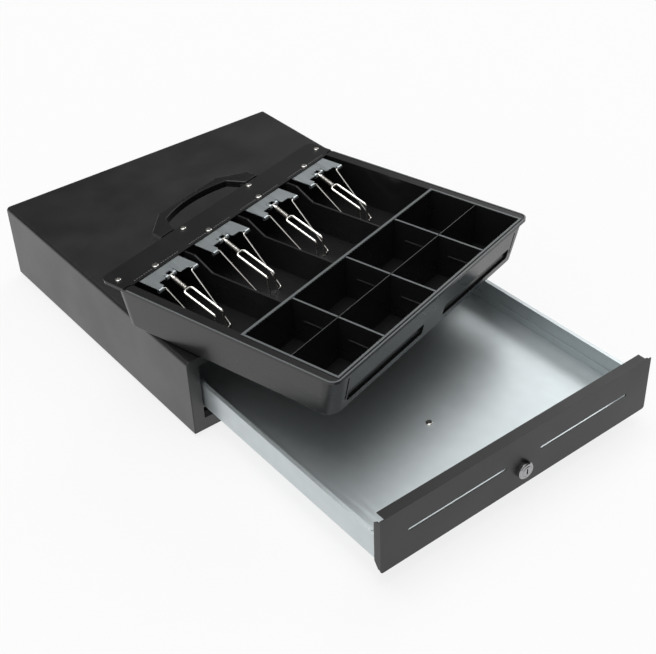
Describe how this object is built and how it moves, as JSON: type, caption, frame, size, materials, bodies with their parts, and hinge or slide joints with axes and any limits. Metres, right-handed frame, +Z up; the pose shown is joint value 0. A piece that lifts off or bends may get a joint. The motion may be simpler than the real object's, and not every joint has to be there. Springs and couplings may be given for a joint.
{
  "type": "cash drawer",
  "caption": "Steel point-of-sale cash drawer standing open, with its black plastic note and coin till lifted out and resting askew on the casing.",
  "frame": {"origin": "middle of the casing's footprint on the counter, under the centre of its four counter screw holes", "axes": "+X to the casing's right as seen from its front, +Y to its rear, +Z up; the drawer opens towards -Y"},
  "size_m": [0.44, 0.7364, 0.1605],
  "materials": {
    "black_steel": "satin powder coat",
    "zinc_sheet": "galvanised sheet, satin",
    "bright_metal": "nickel plated",
    "dark_screw": "black oxide",
    "rubber": "matte",
    "black_abs": "semi-gloss moulded",
    "black_nylon": "matte",
    "white_nylon": "matte",
    "copper_winding": "enamelled winding",
    "circuit_board": "satin"
  },
  "bodies": {
    "casing": {"casing_cover": "black_steel", "casing_base": "black_steel", "rear_panel": "black_steel", "front_frame": "black_steel", "rubber_feet": "rubber", "rear_panel_screws": "dark_screw", "left_rail": "zinc_sheet", "right_rail": "zinc_sheet", "left_roller_bracket": "zinc_sheet", "right_roller_bracket": "zinc_sheet", "latch_bracket": "zinc_sheet", "solenoid_frame": "zinc_sheet", "solenoid_coil": "copper_winding", "ejector_guide": "zinc_sheet", "ejector_spring": "bright_metal", "drawer_switch": "black_nylon", "cable_socket": "black_nylon", "interface_board": "circuit_board"},
    "drawer": {"drawer_pan": "zinc_sheet", "front_panel": "black_steel", "lock_housing": "bright_metal", "lock_nut": "zinc_sheet", "drawer_catch": "zinc_sheet", "catch_rivet": "bright_metal", "panel_rivets": "zinc_sheet", "rear_roller_pins": "zinc_sheet"},
    "lock": {"lock_plug": "bright_metal", "lock_cam": "zinc_sheet"},
    "front_roller_left": {"left_front_roller": "white_nylon"},
    "front_roller_right": {"right_front_roller": "white_nylon"},
    "rear_roller_left": {"left_rear_roller": "white_nylon"},
    "rear_roller_right": {"right_rear_roller": "white_nylon"},
    "latch": {"latch_hook": "zinc_sheet"},
    "plunger": {"solenoid_plunger": "zinc_sheet"},
    "pusher": {"ejector_pusher": "white_nylon"},
    "till": {"tray_moulding": "black_abs", "cover_plate": "black_steel", "tray_handle": "black_abs", "plate_screws": "bright_metal", "clip_rivets": "bright_metal", "clip_bracket_1": "zinc_sheet", "clip_bracket_2": "zinc_sheet", "clip_bracket_3": "zinc_sheet", "clip_bracket_4": "zinc_sheet"},
    "coin_dividers": {"left_coin_divider": "black_abs", "middle_coin_divider": "black_abs", "right_coin_divider": "black_abs", "coin_cross_divider": "black_abs"},
    "fork_1": {"note_fork_1": "bright_metal"},
    "left_leg_1": {"left_note_leg_1": "bright_metal"},
    "right_leg_1": {"right_note_leg_1": "bright_metal"},
    "fork_2": {"note_fork_2": "bright_metal"},
    "left_leg_2": {"left_note_leg_2": "bright_metal"},
    "right_leg_2": {"right_note_leg_2": "bright_metal"},
    "fork_3": {"note_fork_3": "bright_metal"},
    "left_leg_3": {"left_note_leg_3": "bright_metal"},
    "right_leg_3": {"right_note_leg_3": "bright_metal"},
    "fork_4": {"note_fork_4": "bright_metal"},
    "left_leg_4": {"left_note_leg_4": "bright_metal"},
    "right_leg_4": {"right_note_leg_4": "bright_metal"}
  },
  "joints": [
    {"name": "drawer_slide", "type": "slide", "parent": "casing", "child": "drawer", "axis": [0, -1, 0], "range_m": [-0.302, 0]},
    {"name": "tray_lift", "type": "slide", "parent": "casing", "child": "till", "axis": [0, 0, 1], "range_m": [0, 0.12]},
    {"name": "divider_lift", "type": "slide", "parent": "till", "child": "coin_dividers", "axis": [0, 0, 1], "range_m": [0, 0.07]},
    {"name": "lock_turn", "type": "hinge", "parent": "drawer", "child": "lock", "pos_m": [0, -0.516, 0.0435], "axis": [0, 1, 0], "range_deg": [0, 90]},
    {"name": "front_roller_left_spin", "type": "hinge", "parent": "casing", "child": "front_roller_left", "pos_m": [-0.176, -0.192, 0.0242], "axis": [1, 0, 0], "range_deg": [-2200, 40]},
    {"name": "front_roller_right_spin", "type": "hinge", "parent": "casing", "child": "front_roller_right", "pos_m": [0.176, -0.192, 0.0242], "axis": [1, 0, 0], "range_deg": [-2200, 40]},
    {"name": "rear_roller_left_spin", "type": "hinge", "parent": "drawer", "child": "rear_roller_left", "pos_m": [-0.197, -0.1298, 0.0532], "axis": [1, 0, 0], "range_deg": [-2290, 40]},
    {"name": "rear_roller_right_spin", "type": "hinge", "parent": "drawer", "child": "rear_roller_right", "pos_m": [0.197, -0.1298, 0.0532], "axis": [1, 0, 0], "range_deg": [-2290, 40]},
    {"name": "latch_pivot", "type": "hinge", "parent": "casing", "child": "latch", "pos_m": [-0.018, -0.0602, 0.021], "axis": [-1, 0, 0], "range_deg": [0, 5.5]},
    {"name": "plunger_slide", "type": "slide", "parent": "casing", "child": "plunger", "axis": [0, -1, 0], "range_m": [0, 0.001]},
    {"name": "pusher_slide", "type": "slide", "parent": "casing", "child": "pusher", "axis": [0, -1, 0], "range_m": [0, 0.006], "stiffness_N_per_m": 300, "springref_m": 0.02, "deforming": ["ejector_spring"]},
    {"name": "fork_1_lift", "type": "hinge", "parent": "till", "child": "fork_1", "pos_m": [-0.16371, -0.12833, 0.1545], "axis": [-0.9664, -0.2571, 0], "range_deg": [0, 60], "stiffness_Nm_per_rad": 0.01, "springref_deg": -57.3},
    {"name": "left_leg_1_lift", "type": "hinge", "parent": "till", "child": "left_leg_1", "pos_m": [-0.18671, -0.14687, 0.1551], "axis": [-0.9664, -0.2571, 0], "range_deg": [0, 70], "stiffness_Nm_per_rad": 0.004, "springref_deg": -57.3},
    {"name": "right_leg_1_lift", "type": "hinge", "parent": "till", "child": "right_leg_1", "pos_m": [-0.13453, -0.13299, 0.1551], "axis": [-0.9664, -0.2571, 0], "range_deg": [0, 70], "stiffness_Nm_per_rad": 0.004, "springref_deg": -57.3},
    {"name": "fork_2_lift", "type": "hinge", "parent": "till", "child": "fork_2", "pos_m": [-0.0777, -0.10545, 0.1545], "axis": [-0.9664, -0.2571, 0], "range_deg": [0, 60], "stiffness_Nm_per_rad": 0.01, "springref_deg": -57.3},
    {"name": "left_leg_2_lift", "type": "hinge", "parent": "till", "child": "left_leg_2", "pos_m": [-0.10071, -0.12399, 0.1551], "axis": [-0.9664, -0.2571, 0], "range_deg": [0, 70], "stiffness_Nm_per_rad": 0.004, "springref_deg": -57.3},
    {"name": "right_leg_2_lift", "type": "hinge", "parent": "till", "child": "right_leg_2", "pos_m": [-0.04852, -0.1101, 0.1551], "axis": [-0.9664, -0.2571, 0], "range_deg": [0, 70], "stiffness_Nm_per_rad": 0.004, "springref_deg": -57.3},
    {"name": "fork_3_lift", "type": "hinge", "parent": "till", "child": "fork_3", "pos_m": [0.00927, -0.08231, 0.1545], "axis": [-0.9664, -0.2571, 0], "range_deg": [0, 60], "stiffness_Nm_per_rad": 0.01, "springref_deg": -57.3},
    {"name": "left_leg_3_lift", "type": "hinge", "parent": "till", "child": "left_leg_3", "pos_m": [-0.01373, -0.10085, 0.1551], "axis": [-0.9664, -0.2571, 0], "range_deg": [0, 70], "stiffness_Nm_per_rad": 0.004, "springref_deg": -57.3},
    {"name": "right_leg_3_lift", "type": "hinge", "parent": "till", "child": "right_leg_3", "pos_m": [0.03845, -0.08696, 0.1551], "axis": [-0.9664, -0.2571, 0], "range_deg": [0, 70], "stiffness_Nm_per_rad": 0.004, "springref_deg": -57.3},
    {"name": "fork_4_lift", "type": "hinge", "parent": "till", "child": "fork_4", "pos_m": [0.09528, -0.05942, 0.1545], "axis": [-0.9664, -0.2571, 0], "range_deg": [0, 60], "stiffness_Nm_per_rad": 0.01, "springref_deg": -57.3},
    {"name": "left_leg_4_lift", "type": "hinge", "parent": "till", "child": "left_leg_4", "pos_m": [0.07227, -0.07796, 0.1551], "axis": [-0.9664, -0.2571, 0], "range_deg": [0, 70], "stiffness_Nm_per_rad": 0.004, "springref_deg": -57.3},
    {"name": "right_leg_4_lift", "type": "hinge", "parent": "till", "child": "right_leg_4", "pos_m": [0.12446, -0.06407, 0.1551], "axis": [-0.9664, -0.2571, 0], "range_deg": [0, 70], "stiffness_Nm_per_rad": 0.004, "springref_deg": -57.3}
  ],
  "couplings": [
    {"joint": "front_roller_left_spin", "follows": "drawer_slide", "rad_per_m": 125},
    {"joint": "front_roller_right_spin", "follows": "drawer_slide", "rad_per_m": 125},
    {"joint": "rear_roller_left_spin", "follows": "drawer_slide", "rad_per_m": 129.87},
    {"joint": "rear_roller_right_spin", "follows": "drawer_slide", "rad_per_m": 129.87},
    {"joint": "plunger_slide", "follows": "latch_pivot", "m_per_rad": 0.009},
    {"joint": "left_leg_1_lift", "follows": "right_leg_1_lift", "ratio": 1},
    {"joint": "left_leg_2_lift", "follows": "right_leg_2_lift", "ratio": 1},
    {"joint": "left_leg_3_lift", "follows": "right_leg_3_lift", "ratio": 1},
    {"joint": "left_leg_4_lift", "follows": "right_leg_4_lift", "ratio": 1}
  ]
}
